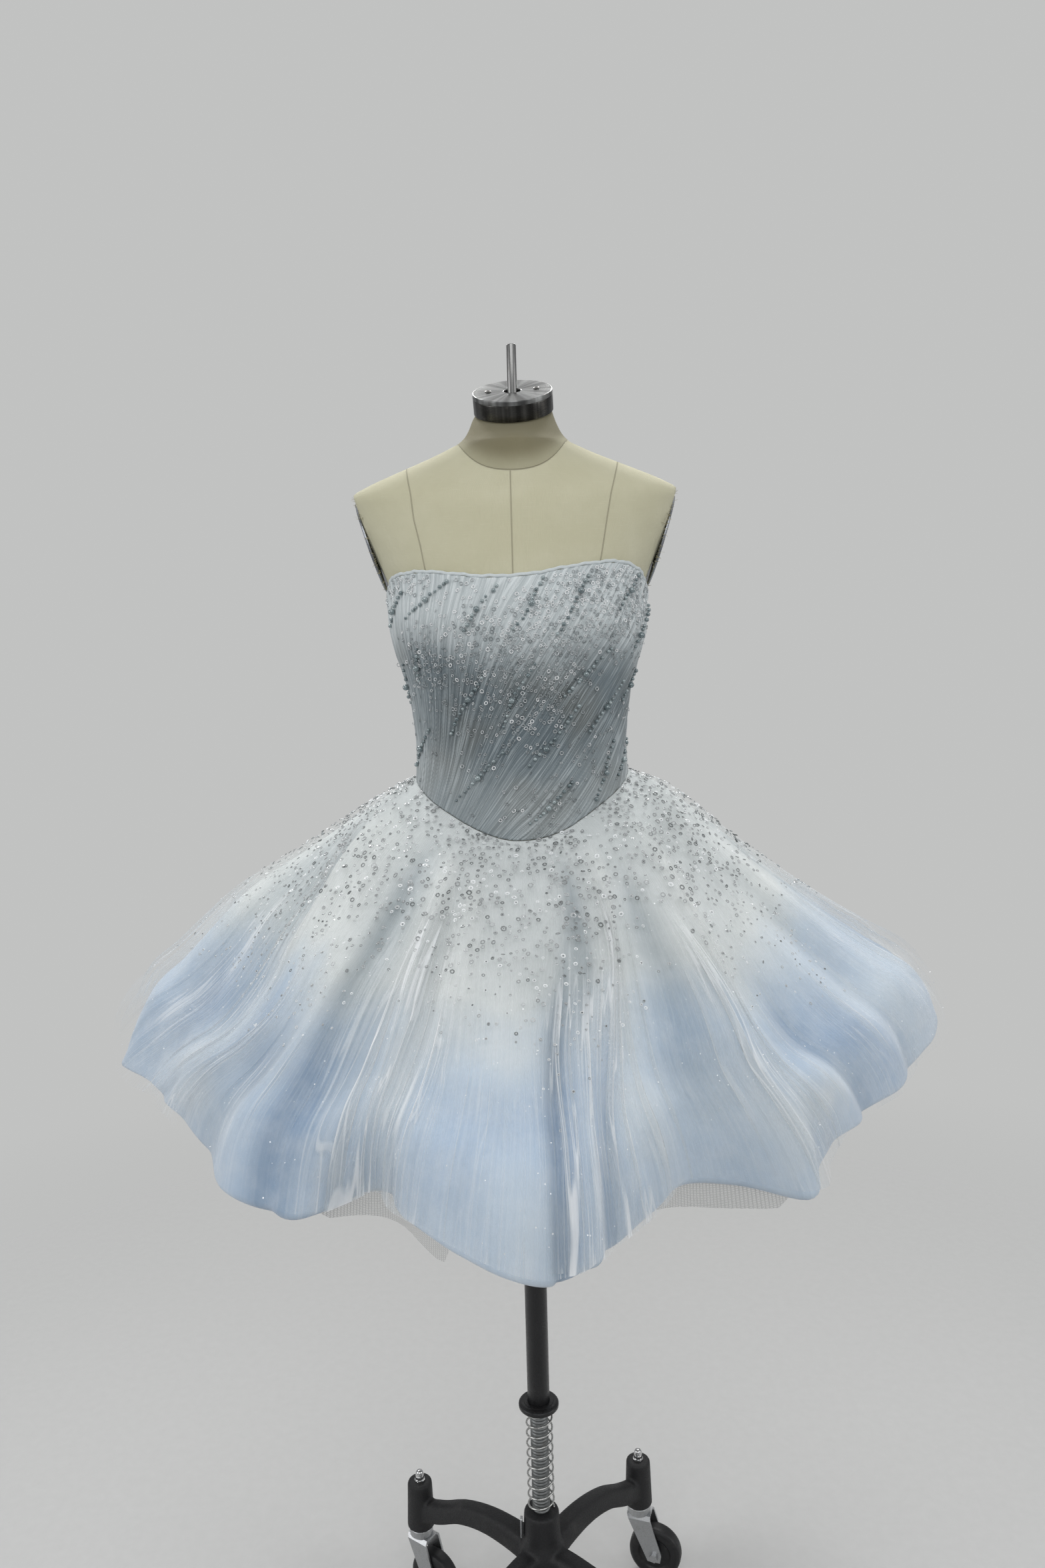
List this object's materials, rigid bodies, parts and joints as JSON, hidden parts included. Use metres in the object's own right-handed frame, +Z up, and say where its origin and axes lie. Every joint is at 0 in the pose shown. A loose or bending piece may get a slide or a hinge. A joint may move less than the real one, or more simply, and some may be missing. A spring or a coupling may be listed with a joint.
{
  "type": "ball gown on a dress form",
  "caption": "Short strapless ball gown with a pleated bodice and a wide layered tulle skirt, on a limbless dress form with a sliding pole and a castor stand.",
  "frame": {"origin": "on the floor under the middle of the skirt's outline, which is also the pole's axis", "axes": "+Z up the pole, -Y towards the front of the gown, +X towards the viewer's right"},
  "size_m": [1.034, 0.9726, 1.687],
  "materials": {
    "tulle_bodice": "pleated matte tulle",
    "tulle_white": "sheer glitter tulle, white shading to light blue at the hem",
    "tulle_blue": "sheer light blue tulle",
    "crinoline": "stiff grey net",
    "binding": "folded white satin edge",
    "zip": "concealed coil zip",
    "linen": "beige linen stretched over the form",
    "cap_steel": "brushed",
    "bright_steel": "bright plated",
    "arm_plate": "dark satin",
    "board": "plain plywood",
    "black_paint": "satin black",
    "black_casting": "painted black, slightly rough",
    "zinc": "zinc plated",
    "wheel_rubber": "black"
  },
  "bodies": {
    "base": {"base_casting": "black_casting", "inner_post": "bright_steel", "spring": "bright_steel", "acorn_nut_back_right": "bright_steel", "acorn_nut_back_left": "bright_steel", "acorn_nut_front_left": "bright_steel", "acorn_nut_front_right": "bright_steel"},
    "catch": {"catch_lever": "zinc"},
    "column": {"pole": "black_paint", "pole_collar": "black_paint"},
    "form": {"form_torso": "linen", "form_board": "board", "pole_socket": "black_paint", "arm_plate_left": "arm_plate", "arm_plate_right": "arm_plate", "neck_cap": "cap_steel", "cap_screw_left": "bright_steel", "cap_screw_right": "bright_steel", "top_rod": "bright_steel", "bodice_front": "tulle_bodice", "bodice_back_right": "tulle_bodice", "bodice_back_left": "tulle_bodice", "neck_binding": "binding", "zip_chain": "zip", "zip_slider": "zip", "skirt_front": "tulle_white", "skirt_back_right": "tulle_white", "skirt_back_left": "tulle_white", "underskirt_front": "tulle_blue", "underskirt_back": "tulle_blue", "petticoat_front": "crinoline", "petticoat_back": "crinoline"},
    "zip_tab": {"zip_pull": "zip"},
    "castor_back_right": {"fork_back_right": "zinc", "axle_back_right": "bright_steel"},
    "wheel_back_right": {"wheel_back_right": "wheel_rubber"},
    "castor_back_left": {"fork_back_left": "zinc", "axle_back_left": "bright_steel"},
    "wheel_back_left": {"wheel_back_left": "wheel_rubber"},
    "castor_front_left": {"fork_front_left": "zinc", "axle_front_left": "bright_steel"},
    "wheel_front_left": {"wheel_front_left": "wheel_rubber"},
    "castor_front_right": {"fork_front_right": "zinc", "axle_front_right": "bright_steel"},
    "wheel_front_right": {"wheel_front_right": "wheel_rubber"}
  },
  "joints": [
    {"name": "height_slide", "type": "slide", "parent": "base", "child": "column", "axis": [0, 0, 1], "range_m": [0, 0.25], "deforming": ["spring"]},
    {"name": "form_turn", "type": "hinge", "parent": "column", "child": "form", "pos_m": [0, 0, 0.86], "axis": [0, 0, 1], "continuous": true},
    {"name": "catch_pivot", "type": "hinge", "parent": "base", "child": "catch", "pos_m": [-0.0262, -0.004, 0.2072], "axis": [0, -1, 0], "range_deg": [0, 15], "stiffness_Nm_per_rad": 0.3},
    {"name": "zip_pull_hinge", "type": "hinge", "parent": "form", "child": "zip_tab", "pos_m": [0, 0.114, 1.3795], "axis": [1, 0, 0], "range_deg": [0, 150]},
    {"name": "swivel_back_right", "type": "hinge", "parent": "base", "child": "castor_back_right", "pos_m": [0.14184, 0.17207, 0.1], "axis": [0, 0, 1], "continuous": true},
    {"name": "roll_back_right", "type": "hinge", "parent": "castor_back_right", "child": "wheel_back_right", "pos_m": [0.16467, 0.16466, 0.0375], "axis": [0.309, 0.9511, 0], "continuous": true},
    {"name": "swivel_back_left", "type": "hinge", "parent": "base", "child": "castor_back_left", "pos_m": [-0.17207, 0.14184, 0.1], "axis": [0, 0, 1], "continuous": true},
    {"name": "roll_back_left", "type": "hinge", "parent": "castor_back_left", "child": "wheel_back_left", "pos_m": [-0.15241, 0.12808, 0.0375], "axis": [0.5736, 0.8192, 0], "continuous": true},
    {"name": "swivel_front_left", "type": "hinge", "parent": "base", "child": "castor_front_left", "pos_m": [-0.14184, -0.17207, 0.1], "axis": [0, 0, 1], "continuous": true},
    {"name": "roll_front_left", "type": "hinge", "parent": "castor_front_left", "child": "wheel_front_left", "pos_m": [-0.12984, -0.19286, 0.0375], "axis": [0.866, 0.5, 0], "continuous": true},
    {"name": "swivel_front_right", "type": "hinge", "parent": "base", "child": "castor_front_right", "pos_m": [0.17207, -0.14184, 0.1], "axis": [0, 0, 1], "continuous": true},
    {"name": "roll_front_right", "type": "hinge", "parent": "castor_front_right", "child": "wheel_front_right", "pos_m": [0.19571, -0.13768, 0.0375], "axis": [-0.1736, 0.9848, 0], "continuous": true}
  ]
}
